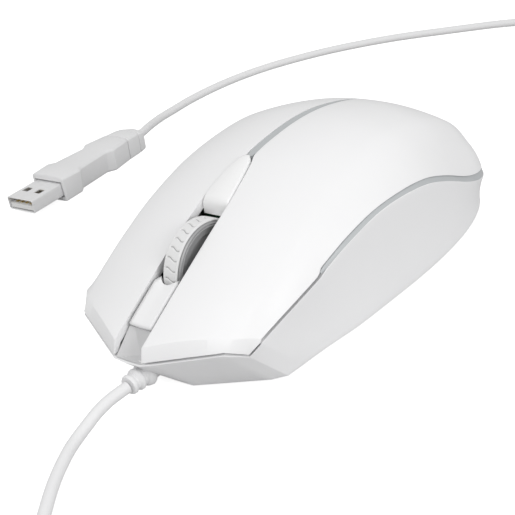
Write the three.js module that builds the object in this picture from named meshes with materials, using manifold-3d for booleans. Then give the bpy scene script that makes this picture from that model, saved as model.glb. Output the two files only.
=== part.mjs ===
// A wired computer mouse, modelled as the separate pieces that a real one is put together from.
// Millimetres, +Z up. The nose points to -Y and the left flank to +X. The origin is on the desk,
// under the middle of the mouse. The drawing line y = 0 is the sensor's, and the last section
// moves the assembly by MIDDLE_Y, the middle of the length.
import * as THREE from 'three';
import { mergeVertices } from 'three/addons/utils/BufferGeometryUtils.js';
import Module from 'manifold-3d';

const wasm = await Module();
wasm.setup();

// ---------- driving dimensions ----------
const NOSE_END = -66; // the loft runs past the nose, and the nose planes cut it back
const REAR_END = 69;
const BASE_Z = 1; // underside of the base, above the feet
const WALL = 1.8;
const GAP = 0.3; // between pieces that touch
const WIDE = 200; // larger than the mouse, for cutting blocks

const FLEX_Y = 2; // the line on which both buttons bend
const FLEX_Z = 34;
const CHANNEL = 4.3; // half width of the channel between the buttons
const BRIDGE = 3.45; // half width of the piece between the buttons
const DPI_FRONT = -23.1;
const DPI_TAIL = -8.6;
const SPINE_HALF = 1.1;

const WHEEL = { y: -31.2, z: 20, radius: 11.9, halfWidth: 3.1, tread: 2.3 };
const BOARD = { z: 5.8, thick: 1.6 };
const SWITCH = { x: 15, y: -38, long: 12.8, wide: 5.8, high: 6.5 };
const CORD = 2.9; // diameter of the cable
const GLAND = { tip: -62.3, z: 5.3 };
const PLUG = { x: -110.4, front: -0.9, shell: 11.6, width: 12, height: 4.5, grip: 8.2, askew: 0.035 };
const MIDDLE_Y = (GLAND.tip + REAR_END) / 2;
const COIL = { x: 65, y: -109, radius: 16, columns: 4, rows: 2 };

// ---------- interpolation ----------
// A smooth curve through [place, value] pairs, with each slope taken from the neighbours.
function through(pairs) {
  const slope = pairs.map((pair, i) => {
    const before = pairs[Math.max(i - 1, 0)];
    const after = pairs[Math.min(i + 1, pairs.length - 1)];
    return (after[1] - before[1]) / (after[0] - before[0]);
  });
  return (at) => {
    let i = 0;
    while (i < pairs.length - 2 && at > pairs[i + 1][0]) i++;
    const [x0, v0] = pairs[i];
    const [x1, v1] = pairs[i + 1];
    const span = x1 - x0;
    const t = Math.min(Math.max((at - x0) / span, 0), 1);
    const t2 = t * t;
    const t3 = t2 * t;
    return (2 * t3 - 3 * t2 + 1) * v0 + (t3 - 2 * t2 + t) * span * slope[i]
      + (3 * t2 - 2 * t3) * v1 + (t3 - t2) * span * slope[i + 1];
  };
}

// ---------- the outer form, as curves along the mouse ----------
const crest = through([[-66, 11.5], [-59, 15.2], [-44, 23.3], [-24, 33.2], [-9, 38.8], [3, 40.5],
  [14, 40.7], [24, 39.5], [36, 36.4], [46, 32.1], [54, 27.4], [61, 22.4], [66, 17.2], [69, 10.4]]);
const shoulderX = through([[-66, 21], [-50, 23.4], [-39, 25.2], [-30, 26.4], [-20, 26.8], [-4, 27.4],
  [12, 27.2], [30, 25.8], [46, 23.8], [54, 22.2], [61, 18.8], [66, 12.5], [69, 3]]);
const shoulderZ = through([[-66, 9], [-50, 16], [-39, 21.2], [-30, 25], [-20, 29.1], [-4, 32.9],
  [12, 34.6], [20, 34.3], [32, 31.6], [46, 26.4], [54, 22.6], [61, 18.6], [66, 14.4], [69, 9.6]]);
const beltX = through([[-66, 26], [-48, 27.6], [-40, 28.3], [-32, 29.1], [-23, 30.2], [-14, 31.4], [-4, 32.5],
  [7, 33.1], [18, 33.1], [27, 32.6], [36, 31.6], [44, 30.3], [52, 28.4], [58, 25.8], [63, 21.8],
  [66.5, 16], [68.3, 9.4], [69, 4]]);
const seamZ = through([[-66, 9.4], [-61, 10.9], [-52, 13.3], [-48, 14.6], [-40, 16.7], [-32, 18.7],
  [-23, 21.2], [-14, 24.1], [-4, 26.2], [7, 26], [18, 24], [27, 20.6], [42, 13.3], [52, 9.4], [61, 7.4],
  [69, 6.6]]);
const footX = through([[-66, 26], [-39, 27.6], [-34, 27.8], [-25, 29.2], [-15, 31], [0, 32.3], [12, 33],
  [24, 33], [36, 31.9], [46, 29.6], [54, 26.2], [61, 20.6], [66, 12.5], [69, 3.5]]);
const STRIP_HEIGHT = through([[-25, 0.2], [-22, 1.2], [0, 1.3], [20, 1.5], [50, 1.5], [69, 1.4]]);

// Height of the top surface at a place on the plan.
function topHeight(x, y) {
  const side = Math.abs(x);
  const crown = crest(y);
  const shoulder = shoulderZ(y);
  const inner = shoulderX(y);
  if (side <= inner) return crown - (crown - shoulder) * (side / inner) ** 2.2;
  const edge = seamZ(y);
  return shoulder + (edge - shoulder) * (side - inner) / (beltX(y) - inner);
}

// ---------- solids ----------
function toSolid(geometry) {
  const bare = geometry.clone();
  for (const name of Object.keys(bare.attributes)) if (name !== 'position') bare.deleteAttribute(name);
  const merged = mergeVertices(bare, 1e-5);
  return new wasm.Manifold(new wasm.Mesh({
    numProp: 3,
    vertProperties: new Float32Array(merged.attributes.position.array),
    triVerts: new Uint32Array(merged.index.array),
  }));
}

function toGeometry(solid) {
  const mesh = solid.getMesh();
  const geometry = new THREE.BufferGeometry();
  geometry.setAttribute('position', new THREE.BufferAttribute(mesh.vertProperties, 3));
  geometry.setIndex(new THREE.BufferAttribute(mesh.triVerts, 1));
  geometry.computeVertexNormals();
  return geometry;
}

// A block given by its lowest and highest corners.
function block([x0, y0, z0], [x1, y1, z1]) {
  const geometry = new THREE.BoxGeometry(x1 - x0, y1 - y0, z1 - z0);
  geometry.translate((x0 + x1) / 2, (y0 + y1) / 2, (z0 + z1) / 2);
  return geometry;
}

// An upright cylinder from z0 to z1.
function post(x, y, z0, z1, radius, sides = 12) {
  const geometry = new THREE.CylinderGeometry(radius, radius, z1 - z0, sides);
  geometry.rotateX(Math.PI / 2);
  geometry.translate(x, y, (z0 + z1) / 2);
  return geometry;
}

// A plan outline pulled up from z0 to z1.
function slab(outline, z0, z1) {
  const shape = new THREE.Shape(outline.map(([x, y]) => new THREE.Vector2(x, y)));
  const geometry = new THREE.ExtrudeGeometry(shape, { depth: z1 - z0, bevelEnabled: false });
  geometry.translate(0, 0, z0);
  return geometry;
}

// A side-view outline of [y, z] points pulled across from x0 to x1.
function across(outline, x0, x1) {
  const shape = new THREE.Shape(outline.map(([y, z]) => new THREE.Vector2(y, z)));
  const geometry = new THREE.ExtrudeGeometry(shape, { depth: x1 - x0, bevelEnabled: false });
  geometry.applyMatrix4(new THREE.Matrix4().set(0, 0, 1, 0, 1, 0, 0, 0, 0, 1, 0, 0, 0, 0, 0, 1));
  geometry.translate(x0, 0, 0);
  return geometry;
}

// A lathe about an axis along Y, from [distance along -Y, radius] points.
function turnedAlongY(profile, yStart, z, sides = 14) {
  const points = profile.map(([along, radius]) => new THREE.Vector2(radius, along));
  const geometry = new THREE.LatheGeometry(points, sides);
  geometry.rotateX(Math.PI);
  geometry.translate(0, yStart, z);
  return geometry;
}

// ---------- body loft ----------
// One cross-section of the outer form, set in by the wall, as [x, z] points from foot to foot.
function section(y, inset) {
  const probe = y > 0 ? Math.min(y + inset * y / REAR_END, REAR_END) : y;
  const floor = BASE_Z + inset;
  const belt = Math.max(beltX(probe) - inset, 1);
  const shoulder = Math.min(shoulderX(probe), belt * 0.95);
  const edge = Math.max(seamZ(probe), floor + 1.5);
  const foot = Math.max(footX(probe) - inset, 0.8);
  const lower = [[foot, floor], [(belt + foot) / 2 - 0.7, (floor + edge) / 2], [belt, edge]];
  const upper = [shoulder, shoulder * 0.8, shoulder * 0.55, shoulder * 0.28].map((x) => [
    x, Math.max(topHeight(x, probe) - inset, edge + 0.6)]);
  const left = [...lower, ...upper];
  const right = left.map(([x, z]) => [-x, z]).reverse();
  return [...left, [0, Math.max(crest(probe) - inset, edge + 0.7)], ...right];
}

function bodyStations(inset) {
  const stations = [];
  for (let y = NOSE_END; y < 43; y += 4.4) stations.push(y);
  const rear = REAR_END - inset;
  for (const back of [22, 18, 14, 10.5, 7.5, 5, 3, 1.5, 0.6, 0]) stations.push(rear - back);
  return stations;
}

function bodyLoft(inset) {
  const rings = bodyStations(inset).map((y) => section(y, inset).map(([x, z]) => [x, y, z]));
  const count = rings[0].length;
  const vertices = rings.flat();
  const faces = [];
  for (let i = 0; i < rings.length - 1; i++) {
    for (let j = 0; j < count; j++) {
      const a = i * count + j;
      const b = i * count + (j + 1) % count;
      faces.push([a, b + count, b], [a, a + count, b + count]);
    }
  }
  for (const [ring, flip] of [[0, true], [rings.length - 1, false]]) {
    const middle = vertices.length;
    const [, y] = rings[ring][0];
    vertices.push([0, y, seamZ(Math.max(y, -60)) * 0.9]);
    for (let j = 0; j < count; j++) {
      const a = ring * count + j;
      const b = ring * count + (j + 1) % count;
      faces.push(flip ? [middle, a, b] : [middle, b, a]);
    }
  }
  const geometry = new THREE.BufferGeometry();
  geometry.setAttribute('position', new THREE.Float32BufferAttribute(vertices.flat(), 3));
  geometry.setIndex(faces.flat());
  return toSolid(geometry);
}

// ---------- nose planes ----------
// Each plane of the faceted nose, by three points on the left half.
const NOSE_PLANES = {
  bevel: [[4.2, -59.7, 14.9], [4.4, -60.6, 11.6], [23.4, -49.8, 16]],
  outerBevel: [[23.4, -49.8, 16], [26.8, -49.2, 12.8], [28.2, -46.4, 15.8]],
  front: [[0, -51.5, BASE_Z], [9.5, -51.5, BASE_Z], [0, -60.8, 11.6]],
  slant: [[9.5, -51.5, BASE_Z], [25.1, -41.8, BASE_Z], [22.6, -52.3, 14.1]],
  corner: [[27.7, -38.9, BASE_Z], [26.6, -48.3, 12.2], [28.8, -45.4, 13.7]],
};

// A large block that lies wholly outside a plane of the nose, moved in by the wall.
function outsidePlane(points, side, inset) {
  const [a, b, c] = points.map(([x, y, z]) => new THREE.Vector3(side * x, y, z));
  const normal = new THREE.Vector3().subVectors(b, a).cross(new THREE.Vector3().subVectors(c, a)).normalize();
  if (normal.y > 0) normal.negate();
  const geometry = new THREE.BoxGeometry(WIDE, WIDE, WIDE);
  geometry.translate(0, 0, WIDE / 2 - inset);
  geometry.applyQuaternion(new THREE.Quaternion().setFromUnitVectors(new THREE.Vector3(0, 0, 1), normal));
  geometry.translate(a.x, a.y, a.z);
  return toSolid(geometry);
}

function body(inset) {
  let solid = bodyLoft(inset);
  for (const plane of Object.values(NOSE_PLANES)) {
    for (const side of [1, -1]) solid = solid.subtract(outsidePlane(plane, side, inset));
  }
  return solid;
}

// ---------- parting line between the upper and lower shells ----------
const places = (from, to, step) => {
  const list = [];
  for (let y = from; y < to; y += step) list.push(y);
  return [...list, to];
};

// Everything below the seam, raised by lift(y).
function belowSeam(lift) {
  const line = places(-70, 74, 4).map((y) => [y, seamZ(Math.min(y, REAR_END)) + lift(y)]);
  return toSolid(across([[-70, -20], ...line, [74, -20]].reverse(), -WIDE / 2, WIDE / 2));
}

const pressRoom = (y) => Math.max(FLEX_Y - y, 0) * 0.013; // room for the buttons to go down
const stripRoom = (y) => (y > -25 ? STRIP_HEIGHT(y) : 0);

// ---------- shells ----------
const outer = body(0);
const inner = body(WALL);
const shell = outer.subtract(inner);
const upperShell = shell.subtract(belowSeam((y) => stripRoom(y) + GAP));

const channelBlock = toSolid(block([-CHANNEL, -80, -5], [CHANNEL, DPI_FRONT, 60]));

// The teardrop of the resolution button, grown by some clearance.
function teardrop(clearance) {
  const long = DPI_TAIL - DPI_FRONT;
  const half = CHANNEL - 0.2 + clearance;
  const left = [[half, DPI_FRONT - clearance], [half, DPI_FRONT + long * 0.25],
    [half * 0.86, DPI_FRONT + long * 0.5], [half * 0.6, DPI_FRONT + long * 0.75],
    [SPINE_HALF + clearance, DPI_TAIL + clearance]];
  return [...left, ...left.map(([x, y]) => [-x, y]).reverse()];
}

// The plan of the strip along the spine, which tapers towards the rear.
function spineOutline(clearance) {
  const front = DPI_TAIL + GAP + 0.2 - clearance;
  const left = [[SPINE_HALF + clearance, front], [SPINE_HALF + clearance, 22], [0.7 + clearance, 36],
    [0.15 + clearance, 46 + clearance]];
  return [...left, ...left.map(([x, y]) => [-x, y]).reverse()];
}

function openTop() {
  return upperShell
    .subtract(channelBlock)
    .subtract(toSolid(slab(teardrop(GAP), 20, 60)))
    .subtract(toSolid(slab(spineOutline(GAP), 20, 60)));
}
const topWithOpenings = openTop();

function palmShell() {
  const behind = toSolid(block([-WIDE, FLEX_Y + 0.2, -WIDE], [WIDE, WIDE, WIDE]));
  let palm = topWithOpenings.intersect(behind);
  for (const [x, y] of PALM_BOSSES) {
    palm = palm.add(toSolid(post(x, y, BOSS_FOOT, topHeight(x, y) - WALL + 0.4, 3.2, 10)));
    palm = palm.subtract(toSolid(post(x, y, BOSS_FOOT - 1, BOSS_FOOT + 8, SCREW_SHANK + GAP, 10)));
  }
  return toGeometry(palm);
}

// Screws go up through the base into these bosses.
const SCREW_SHANK = 1.1;
const BOSS_FOOT = BASE_Z + WALL + GAP;
const PALM_BOSSES = [[17, 40], [-17, 40]];
const FRONT_BOSS = [0, 22];

function buttonShell(side) {
  const near = side > 0 ? [GAP, -WIDE, -WIDE] : [-WIDE, -WIDE, -WIDE];
  const far = side > 0 ? [WIDE, FLEX_Y - 0.2, WIDE] : [-GAP, FLEX_Y - 0.2, WIDE];
  const swing = belowSeam((y) => stripRoom(y) + GAP + pressRoom(y));
  const presser = post(side * SWITCH.x, SWITCH.y, plungerTop() + GAP, topHeight(SWITCH.x, SWITCH.y) - 1, 1.7, 8);
  return toGeometry(topWithOpenings.intersect(toSolid(block(near, far))).subtract(swing).add(toSolid(presser)));
}

function baseShell() {
  let base = shell.intersect(belowSeam((y) => -GAP / 2)).subtract(toSolid(block([-5, -80, 10], [5, -55, 40])));
  base = base.subtract(toSolid(turnedAlongY([[0, 0], [0, 3.6], [20, 3.6], [20, 0]], -48, GLAND.z)));
  base = base.subtract(toSolid(block([-5, -6, -1], [5, 6, 6])));
  for (const [x, y] of [...PALM_BOSSES, FRONT_BOSS]) {
    base = base.subtract(toSolid(post(x, y, -1, 6, SCREW_SHANK + GAP, 10)));
  }
  return toGeometry(base);
}

// ---------- light strips ----------
function sideStrip(side) {
  const line = places(-24.5, REAR_END, 4);
  const low = line.map((y) => [y, seamZ(y) + GAP / 2]);
  const high = line.map((y) => [y, seamZ(y) + STRIP_HEIGHT(y)]).reverse();
  const band = toSolid(across([...low, ...high], side > 0 ? GAP : -WIDE, side > 0 ? WIDE : -GAP));
  return toGeometry(shell.intersect(band));
}

function spineStrip() {
  return toGeometry(shell.intersect(toSolid(slab(spineOutline(0), 20, 60))));
}

// ---------- channel bridge ----------
// The fixed piece between the buttons, in front of the wheel, with the open recess at the nose.
function channelBridge() {
  const ledge = [[-44, 23], [-54.4, 17.2], [-56.6, 12.2], [-59.8, 11.5], [-58.9, 10.3], [-53, 10.3], [-50.5, 14.5],
    [-44, 18]];
  return across(ledge.reverse(), -BRIDGE, BRIDGE);
}

// ---------- resolution button ----------
function dpiButton() {
  const plan = toSolid(slab(teardrop(0), 20, 60));
  const raised = outer.translate(0, 0, 0.5).subtract(outer.translate(0, 0, -1.9));
  return toGeometry(raised.intersect(plan).add(toSolid(post(0, DPI_STEM_Y, dpiPlungerTop() + GAP, 36, 1.5, 8))));
}

// ---------- scroll wheel ----------
// Half of a tyre's section as [radius, x] points, turned about the axle along X.
function wheelTurned(profile, sides) {
  const geometry = new THREE.LatheGeometry(profile.map(([r, x]) => new THREE.Vector2(r, x)), sides);
  geometry.rotateZ(-Math.PI / 2);
  geometry.translate(0, WHEEL.y, WHEEL.z);
  return geometry;
}

const RIM = 9.6; // inner radius of the tyre

function wheelTyre() {
  const { radius, halfWidth, tread } = WHEEL;
  const half = [[RIM, halfWidth - 0.6], [radius - 1.3, halfWidth], [radius - 0.4, tread + 0.4], [radius, tread]];
  const other = half.map(([r, x]) => [r, -x]);
  return wheelTurned([...other, ...half.reverse(), other[0]], 36);
}

function wheelHub() {
  const disc = RIM - GAP;
  const half = [[disc, WHEEL.halfWidth - 0.7], [disc - 1, WHEEL.halfWidth - 0.7], [disc - 2.2, 1], [3, 1],
    [3, WHEEL.halfWidth], [1.4, WHEEL.halfWidth], [1.4, AXLE_END], [0, AXLE_END]];
  const other = half.map(([r, x]) => [r, -x]).reverse();
  return wheelTurned([...other, ...half], 28);
}

const AXLE_END = 6.6;
const ARM = { inner: 4.1, outer: 6.1 };
const CARRIER_Z = 11.6; // underside of the wheel carrier

// The cradle that holds both ends of the axle and rides down on a click.
function wheelCarrier() {
  const top = WHEEL.z + 3.4;
  let cradle = toSolid(block([-ARM.outer, WHEEL.y - 3.4, CARRIER_Z], [ARM.outer + 5, WHEEL.y + 3.4, top]));
  cradle = cradle.subtract(toSolid(block([-ARM.inner, -WIDE, 0], [ARM.inner, WIDE, WIDE])));
  const rail = toSolid(block([-ARM.outer, -16.5, CARRIER_Z], [ARM.outer + 5, -14.5, 14]));
  const arms = [1, -1].map((side) => toSolid(block(
    [side > 0 ? ARM.inner : -ARM.outer, WHEEL.y, CARRIER_Z], [side > 0 ? ARM.outer + 5 : -ARM.inner, -15, 14])));
  cradle = cradle.add(rail).add(arms[0]).add(arms[1]);
  const bore = new THREE.CylinderGeometry(1.4 + 0.15, 1.4 + 0.15, 2 * AXLE_END + 0.6, 14);
  bore.rotateZ(Math.PI / 2);
  bore.translate(0, WHEEL.y, WHEEL.z);
  return toGeometry(cradle.subtract(toSolid(bore)));
}

function wheelEncoder() {
  const right = -ARM.outer - 0.6;
  return block([right - 4.5, WHEEL.y - 4.5, boardTop() + GAP], [right, WHEEL.y + 4.5, WHEEL.z + 3]);
}

// ---------- circuit boards and what is on them ----------
const boardTop = () => BOARD.z + BOARD.thick;
const plungerTop = () => boardTop() + GAP + SWITCH.high + 1.1;
const DPI_STEM_Y = -15.5;
const UPPER_BOARD = { z: 26.6, thick: 1.2 };
const dpiPlungerTop = () => UPPER_BOARD.z + UPPER_BOARD.thick + GAP + 3.6;

function mainBoard() {
  const half = 22;
  const outline = [[half - 3, -45], [half, -40], [half, 22], [half - 5, 32], [5.5, 32], [5.5, 15], [-5.5, 15],
    [-5.5, 32], [-half + 5, 32], [-half, 22], [-half, -40], [-half + 3, -45]];
  const board = toSolid(slab(outline, BOARD.z, boardTop()));
  return toGeometry(board.subtract(toSolid(block([-3, -4, 0], [3, 4, 20]))));
}

function upperBoard() {
  return block([-7, -19, UPPER_BOARD.z], [7, -9, UPPER_BOARD.z + UPPER_BOARD.thick]);
}

// A gantry that carries the upper board behind the wheel.
function boardBracket() {
  const top = UPPER_BOARD.z - GAP;
  const gantry = toSolid(block([-16, -12, boardTop() + GAP], [16, -9.5, top]));
  const opening = toSolid(block([-12, -20, 0], [12, 0, top - 2.1]));
  const cap = toSolid(block([-7, -19, top - 2.1], [7, -9.5, top]));
  return toGeometry(gantry.subtract(opening).add(cap));
}

function switchBody(side) {
  const { x, y, long, wide, high } = SWITCH;
  const low = boardTop() + GAP;
  const housing = toSolid(block([side * x - wide / 2, y - long / 2, low], [side * x + wide / 2, y + long / 2,
    low + high]));
  return toGeometry(housing.subtract(toSolid(post(side * x, y, low + high - 2.2, low + high + 1, 1.3, 10))));
}

function switchPlunger(x, y, top, long) {
  return post(x, y, top - long, top, 1, 10);
}

// A small push switch with a round well for its plunger.
function tactSwitch(x, y, low) {
  const housing = toSolid(block([x - 3, y - 3, low], [x + 3, y + 3, low + 2.9]));
  return toGeometry(housing.subtract(toSolid(post(x, y, low + 1, low + 4, 1.4, 10))));
}

const MIDDLE_SWITCH = { x: 9, y: -28 };
const middlePlungerTop = () => CARRIER_Z - GAP;
const PLUNGER_LONG = { click: 2.2, tact: 1.8 };

function opticalSensor() {
  return block([-5, -6, boardTop() + GAP], [5, 6, boardTop() + 2.6]);
}

function sensorLens() {
  const plate = toSolid(block([-7, -8, BASE_Z + WALL + GAP], [7, 8, BOARD.z - GAP]));
  const dome = new THREE.CylinderGeometry(2.2, 3, 2.4, 14);
  dome.rotateX(Math.PI / 2);
  dome.translate(0, 0, BOARD.z + 0.5);
  return toGeometry(plate.add(toSolid(dome)));
}

function light(x, y, low) {
  const base = toSolid(block([x - 1.6, y - 1.6, low], [x + 1.6, y + 1.6, low + 1.4]));
  const dome = new THREE.SphereGeometry(1.3, 8, 6);
  dome.translate(x, y, low + 1.5);
  return toGeometry(base.add(toSolid(dome)));
}

function cableConnector() {
  const low = boardTop() + GAP;
  const housing = toSolid(block([-19, -24, low], [-16.2, -14, low + 5]));
  const wires = toSolid(block([-16.4, -22, low + 1.4], [-14.6, -16, low + 3]));
  return toGeometry(housing.add(wires));
}

function screw(x, y) {
  const profile = [[0, 0], [SCREW_SHANK, 0], [SCREW_SHANK, 7], [0, 7.6]];
  const geometry = new THREE.LatheGeometry(profile.map(([r, z]) => new THREE.Vector2(r, z)), 8);
  geometry.rotateX(Math.PI / 2);
  geometry.translate(x, y, BASE_Z + 0.1);
  return geometry;
}

// ---------- glide feet ----------
function foot(y, half, bow) {
  const thick = 3.6;
  const line = places(-half, half, half / 4);
  const front = line.map((x) => [x, y + bow * (x / half) ** 2]);
  const back = line.map((x) => [x, y + bow * (x / half) ** 2 + thick]).reverse();
  return slab([...front, ...back], 0, BASE_Z - GAP);
}

// ---------- strain relief ----------
function strainRelief() {
  const profile = [[0, 0], [0, 2.4], [5.6, 2.6], [6.2, 3.3], [7.6, 2.9], [8, 2.2], [8.8, 2.2], [9.1, 2.7], [10, 2.6],
    [10.3, 2], [11, 2], [11.3, 2.4], [12.3, 2.3], [12.3, 0]];
  return turnedAlongY(profile, GLAND.tip + 12.3, GLAND.z);
}

// ---------- cable ----------
// The free route, chosen by hand: down from the nose, out to the coil, round the left side and back
// along the desk behind the mouse to the plug.
const FLOOR = CORD / 2;
const FRONT_ROUTE = [
  [0, -62.6, 5.2], [-0.4, -65, 5], [-1.1, -67.5, 4.5], [-1.4, -70, 3.95], [-1.5, -72.2, 3.4], [-1.5, -74.2, 2.75],
  [-1.4, -76.2, 2.2], [-0.9, -79.4, 1.6], [0, -82, FLOOR], [1.4, -84.8, FLOOR], [4.1, -89.6, FLOOR],
  [6.6, -93.4, FLOOR], [10, -98, FLOOR], [14.7, -104, FLOOR], [20.8, -111, FLOOR], [28.5, -117.4, FLOOR],
  [37, -122.5, FLOOR], [45.4, -126.5, FLOOR], [53.2, -129.4, FLOOR],
];
const BACK_ROUTE = [
  [87.1, -117.1, 4.3], [89.3, -110.5, 3.3], [91.4, -103.5, 2.2], [93.7, -95, FLOOR], [97, -81, FLOOR],
  [98.8, -66, FLOOR], [97.6, -50, FLOOR], [91.5, -34, FLOOR], [82, -14, FLOOR], [71, 9, FLOOR], [58.5, 34, FLOOR],
  [46, 60, FLOOR], [32.6, 88, FLOOR], [20, 116, FLOOR], [11, 140, FLOOR], [6, 160, FLOOR], [1.5, 178, FLOOR],
  [-5, 193, FLOOR], [-14.5, 201.6, FLOOR], [-26, 203.4, FLOOR], [-39.3, 199.6, FLOOR], [-59.6, 187.8, FLOOR],
  [-80, 174.2, FLOOR], [-98, 157, FLOOR], [-110.4, 139.5, FLOOR], [-116.5, 126.6, FLOOR], [-120.4, 112.3, FLOOR],
  [-122, 95.8, FLOOR], [-121.3, 86.2, 1.6], [-119.3, 75.9, 2.3], [-115.4, 65.8, 3.4], [-113, 60.4, 3.9],
  [-112.1, 56.6, 4.1],
];

function cable(route, steps) {
  const curve = new THREE.CatmullRomCurve3(route.map((p) => new THREE.Vector3(...p)), false, 'centripetal');
  const ring = new THREE.Shape();
  const sides = 8;
  for (let i = 0; i < sides; i++) {
    const angle = 2 * Math.PI * (i + 0.5) / sides;
    const place = [CORD / 2 * Math.cos(angle), CORD / 2 * Math.sin(angle)];
    if (i === 0) ring.moveTo(...place);
    else ring.lineTo(...place);
  }
  ring.closePath();
  return new THREE.ExtrudeGeometry(ring, { steps, bevelEnabled: false, extrudePath: curve });
}

function cableCoil() {
  const half = COIL.columns * CORD / 2;
  const high = COIL.rows * CORD;
  const profile = [[COIL.radius - half, 0], [COIL.radius + half, 0], [COIL.radius + half, high],
    [COIL.radius - half, high], [COIL.radius - half, 0]];
  const geometry = new THREE.LatheGeometry(profile.map(([r, z]) => new THREE.Vector2(r, z)), 24);
  geometry.rotateX(Math.PI / 2);
  geometry.translate(COIL.x, COIL.y, 0.05);
  return geometry;
}

// ---------- plug ----------
const PLUG_MIDDLE = PLUG.grip / 2;

// A bar with chamfered long edges, through [y, half width, half height] places along the plug.
function chamferedBar(stations, chamfer) {
  const rings = stations.map(([y, w, h]) => [[w, h - chamfer], [w - chamfer, h], [-w + chamfer, h], [-w, h - chamfer],
    [-w, -h + chamfer], [-w + chamfer, -h], [w - chamfer, -h], [w, -h + chamfer]].map(([x, z]) => [
    PLUG.x + x, y, PLUG_MIDDLE + z]));
  const count = 8;
  const vertices = rings.flat();
  const faces = [];
  for (let i = 0; i < rings.length - 1; i++) {
    for (let j = 0; j < count; j++) {
      const a = i * count + j;
      const b = i * count + (j + 1) % count;
      faces.push([a, b + count, b], [a, a + count, b + count]);
    }
  }
  const last = (rings.length - 1) * count;
  for (let j = 1; j < count - 1; j++) {
    faces.push([0, j, j + 1], [last, last + j + 1, last + j]);
  }
  const geometry = new THREE.BufferGeometry();
  geometry.setAttribute('position', new THREE.Float32BufferAttribute(vertices.flat(), 3));
  geometry.setIndex(faces.flat());
  return toSolid(geometry);
}

const GRIP_FRONT = PLUG.front + 13.2;
const COLLAR_FRONT = GRIP_FRONT + 34;

// The plug lies a little askew on the desk.
function askew(geometry) {
  const pivot = 5;
  geometry.translate(-PLUG.x, -pivot, 0);
  geometry.rotateZ(PLUG.askew);
  geometry.translate(PLUG.x, pivot, 0);
  return geometry;
}

function plugGrip() {
  const y = GRIP_FRONT;
  const grip = chamferedBar([[y, 6.8, 4.1], [y + 8.2, 7.6, 4.1], [y + 11.7, 5.4, 3.9], [y + 23.7, 4.9, 3.9],
    [y + 26.2, 7, 4.1], [y + 33.6, 5.2, 4]], 1.2);
  const { x, width, height } = PLUG;
  const socket = block([x - width / 2 - GAP, y - 1, PLUG_MIDDLE - height / 2 - GAP],
    [x + width / 2 + GAP, y + 5.5, PLUG_MIDDLE + height / 2 + GAP]);
  return toGeometry(grip.subtract(toSolid(socket)));
}

function plugCollar() {
  const y = COLLAR_FRONT;
  return toGeometry(chamferedBar([[y, 5.2, 4], [y + 5.5, 4.7, 3.8], [y + 9.6, 4.1, 3.4]], 1.2));
}

const SHELL_WALL = 0.45;

function plugShell() {
  const { x, front, shell: exposed, width, height } = PLUG;
  const back = front + exposed + 6;
  const low = PLUG_MIDDLE - height / 2;
  let tube = toSolid(block([x - width / 2, front, low], [x + width / 2, back, low + height]));
  tube = tube.subtract(toSolid(block([x - width / 2 + SHELL_WALL, front - 1, low + SHELL_WALL],
    [x + width / 2 - SHELL_WALL, back - 1, low + height - SHELL_WALL])));
  for (const side of [1, -1]) {
    const hole = block([x + side * 2.9 - 1.1, front + 4.4, low + 1], [x + side * 2.9 + 1.1, front + 6.6, low + 9]);
    tube = tube.subtract(toSolid(hole));
  }
  return toGeometry(tube);
}

const TONGUE = { low: 0.75, thick: 1.6, back: 15 };

function plugTongue() {
  const { x, front, width, height } = PLUG;
  const low = PLUG_MIDDLE - height / 2 + TONGUE.low;
  const half = width / 2 - SHELL_WALL - GAP;
  return block([x - half, front + 0.4, low], [x + half, front + TONGUE.back, low + TONGUE.thick]);
}

function plugContact(place) {
  const { x, front, height } = PLUG;
  const low = PLUG_MIDDLE - height / 2 + TONGUE.low + TONGUE.thick + 0.02;
  const middle = x + (place - 1.5) * 2.2;
  return block([middle - 0.5, front + 1.4, low], [middle + 0.5, front + 8.6, low + 0.2]);
}

// ---------- materials ----------
const plastic = (color, roughness) => new THREE.MeshStandardMaterial({ color, roughness, metalness: 0 });
const metal = (color, roughness) => new THREE.MeshStandardMaterial({ color, roughness, metalness: 1 });
const MATERIALS = {
  shell: plastic(0xf4f4f4, 0.42),
  base: plastic(0xe6e6e7, 0.5),
  strip: plastic(0xc3c8cb, 0.35),
  pearl: plastic(0xf7f7f7, 0.25),
  tyre: plastic(0xe2e2e2, 0.7),
  hub: plastic(0x6e6e70, 0.35),
  cord: plastic(0xe9e9e9, 0.6),
  steel: metal(0xd8d8d8, 0.3),
  gold: metal(0xd9b45a, 0.3),
  board: plastic(0x2f6b46, 0.5),
  black: plastic(0x202022, 0.5),
  clear: plastic(0xdfe6ea, 0.1),
  foot: plastic(0xf2f2f0, 0.6),
  red: plastic(0xa82020, 0.4),
};

// ---------- assembly ----------
const mouse = new THREE.Group();
mouse.position.y = -MIDDLE_Y;

function add(name, geometry, material) {
  const mesh = new THREE.Mesh(geometry, MATERIALS[material]);
  mesh.name = name;
  mouse.add(mesh);
}

add('base_shell', baseShell(), 'base');
add('palm_shell', palmShell(), 'shell');
add('left_button', buttonShell(1), 'shell');
add('right_button', buttonShell(-1), 'shell');
add('channel_bridge', channelBridge(), 'shell');
add('spine_strip', spineStrip(), 'strip');
add('left_strip', sideStrip(1), 'strip');
add('right_strip', sideStrip(-1), 'strip');
add('dpi_button', dpiButton(), 'pearl');
add('wheel_tyre', wheelTyre(), 'tyre');
add('wheel_hub', wheelHub(), 'hub');
add('wheel_carrier', wheelCarrier(), 'black');
add('wheel_encoder', wheelEncoder(), 'black');
add('main_board', mainBoard(), 'board');
add('upper_board', upperBoard(), 'board');
add('board_bracket', boardBracket(), 'black');
for (const [side, name] of [[1, 'left'], [-1, 'right']]) {
  add(`${name}_switch`, switchBody(side), 'black');
  add(`${name}_plunger`, switchPlunger(side * SWITCH.x, SWITCH.y, plungerTop(), PLUNGER_LONG.click), 'red');
}
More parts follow.
